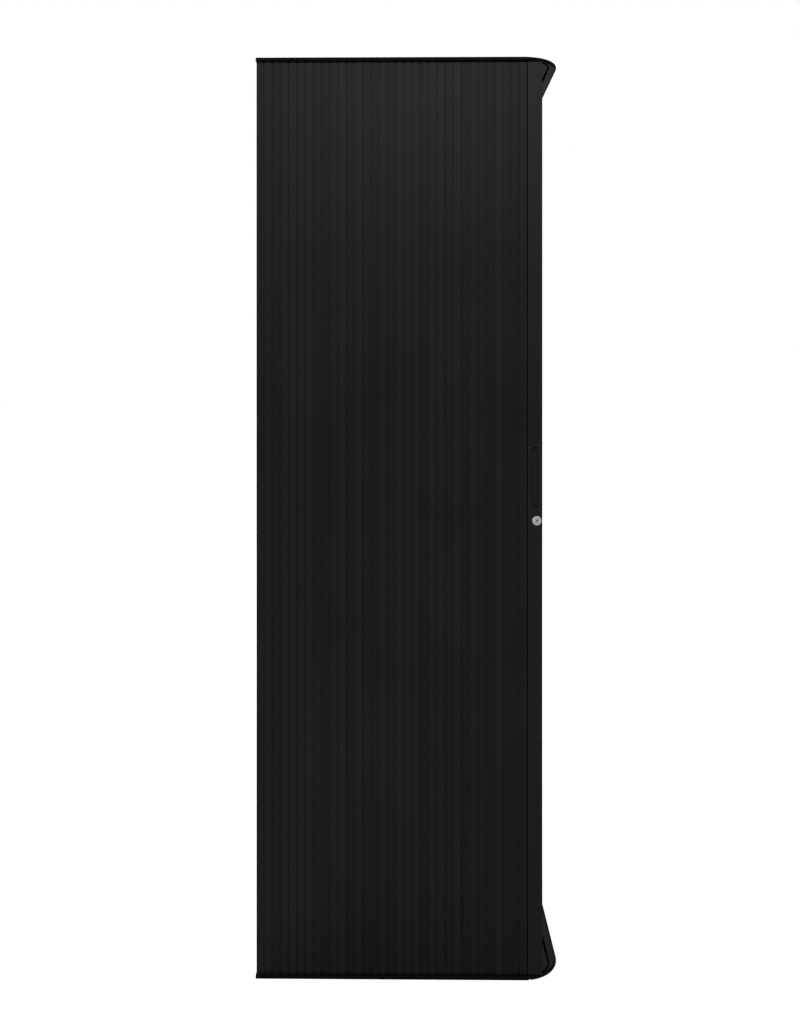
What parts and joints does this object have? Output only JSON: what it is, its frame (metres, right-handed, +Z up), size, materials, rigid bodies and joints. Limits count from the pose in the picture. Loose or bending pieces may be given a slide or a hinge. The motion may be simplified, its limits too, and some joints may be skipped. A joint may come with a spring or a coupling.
{
  "type": "tambour wardrobe",
  "caption": "Tall free-standing wardrobe closed by a single side-sliding shutter of vertical slats that turns round a rounded front corner, with a recessed pull and a cylinder lock.",
  "frame": {"origin": "middle of the outline on the floor", "axes": "+X to the user's right, +Y from the front to the back, +Z up"},
  "size_m": [0.642, 0.6, 1.94],
  "materials": {
    "shutter_plastic": "near-black satin plastic with a fine extrusion grain",
    "profile_metal": "near-black satin powder coat",
    "pull_plastic": "black moulded plastic, satin",
    "track_plastic": "black satin track profile",
    "board": "board faced with near-black melamine, fine pearl texture",
    "back_board": "thin board with charcoal lacquer",
    "lock_metal": "satin nickel plate",
    "rail_metal": "polished chrome tube",
    "fitting_steel": "zinc-plated steel",
    "screw_steel": "blackened steel screws",
    "glide_plastic": "grey-black self-lubricating plastic"
  },
  "bodies": {
    "carcass": {"bottom_board": "board", "top_board": "board", "left_side_panel": "board", "right_side_panel": "board", "back_panel": "back_board", "hat_shelf": "board", "shelf_pins": "fitting_steel", "hanging_rail": "rail_metal", "rail_brackets": "fitting_steel", "bottom_track_front": "track_plastic", "bottom_track_corner": "track_plastic", "bottom_track_side": "track_plastic", "top_track_front": "track_plastic", "top_track_corner": "track_plastic", "top_track_side": "track_plastic", "fitting_screws": "screw_steel", "carcass_screws": "screw_steel", "back_panel_screws": "screw_steel", "strike_plate": "fitting_steel"},
    "sliding_slats": {"slat_12": "shutter_plastic", "slat_13": "shutter_plastic", "slat_14": "shutter_plastic", "slat_15": "shutter_plastic", "slat_16": "shutter_plastic", "slat_17": "shutter_plastic", "slat_18": "shutter_plastic", "slat_19": "shutter_plastic", "slat_20": "shutter_plastic", "slat_21": "shutter_plastic", "slat_22": "shutter_plastic", "slat_23": "shutter_plastic", "slat_24": "shutter_plastic", "slat_25": "shutter_plastic", "slat_26": "shutter_plastic", "slat_27": "shutter_plastic", "slat_28": "shutter_plastic", "slat_29": "shutter_plastic", "slat_30": "shutter_plastic", "slat_31": "shutter_plastic", "slat_32": "shutter_plastic", "slat_33": "shutter_plastic", "slat_glides": "glide_plastic"},
    "turning_panel": {"leading_profile": "profile_metal", "pull_cup": "pull_plastic", "lock_body": "lock_metal", "lock_nut": "fitting_steel", "slat_01": "shutter_plastic", "slat_02": "shutter_plastic", "slat_03": "shutter_plastic", "slat_04": "shutter_plastic", "slat_05": "shutter_plastic", "slat_06": "shutter_plastic", "slat_07": "shutter_plastic"},
    "lock_cylinder": {"lock_plug": "lock_metal", "lock_cam": "fitting_steel", "cam_screw": "screw_steel"},
    "corner_slat_08": {"slat_08": "shutter_plastic"},
    "corner_slat_09": {"slat_09": "shutter_plastic"},
    "corner_slat_10": {"slat_10": "shutter_plastic"},
    "corner_slat_11": {"slat_11": "shutter_plastic"}
  },
  "joints": [
    {"name": "shutter_slide", "type": "slide", "parent": "carcass", "child": "sliding_slats", "axis": [1, 0, 0], "range_m": [0, 0.2]},
    {"name": "shutter_turn", "type": "hinge", "parent": "carcass", "child": "turning_panel", "pos_m": [0.19156, -0.18206, 0.97], "axis": [0, 0, 1], "range_deg": [0, 90]},
    {"name": "slat_08_turn", "type": "hinge", "parent": "carcass", "child": "corner_slat_08", "pos_m": [0.18901, -0.17116, 0.97], "axis": [0, 0, 1], "range_deg": [0, 83.38]},
    {"name": "slat_09_turn", "type": "hinge", "parent": "carcass", "child": "corner_slat_09", "pos_m": [0.18035, -0.11686, 0.97], "axis": [0, 0, 1], "range_deg": [0, 60.82]},
    {"name": "slat_10_turn", "type": "hinge", "parent": "carcass", "child": "corner_slat_10", "pos_m": [0.17168, -0.00138, 0.97], "axis": [0, 0, 1], "range_deg": [0, 38.25]},
    {"name": "slat_11_turn", "type": "hinge", "parent": "carcass", "child": "corner_slat_11", "pos_m": [0.16302, 0.43541, 0.97], "axis": [0, 0, 1], "range_deg": [0, 15.68]},
    {"name": "lock_turn", "type": "hinge", "parent": "turning_panel", "child": "lock_cylinder", "pos_m": [0.271, -0.267, 0.965], "axis": [0, 1, 0], "range_deg": [0, 90]}
  ],
  "couplings": [
    {"joint": "shutter_turn", "follows": "shutter_slide", "rad_per_m": 7.854},
    {"joint": "slat_08_turn", "follows": "shutter_slide", "rad_per_m": 7.2756},
    {"joint": "slat_09_turn", "follows": "shutter_slide", "rad_per_m": 5.3062},
    {"joint": "slat_10_turn", "follows": "shutter_slide", "rad_per_m": 3.3369},
    {"joint": "slat_11_turn", "follows": "shutter_slide", "rad_per_m": 1.3676}
  ]
}
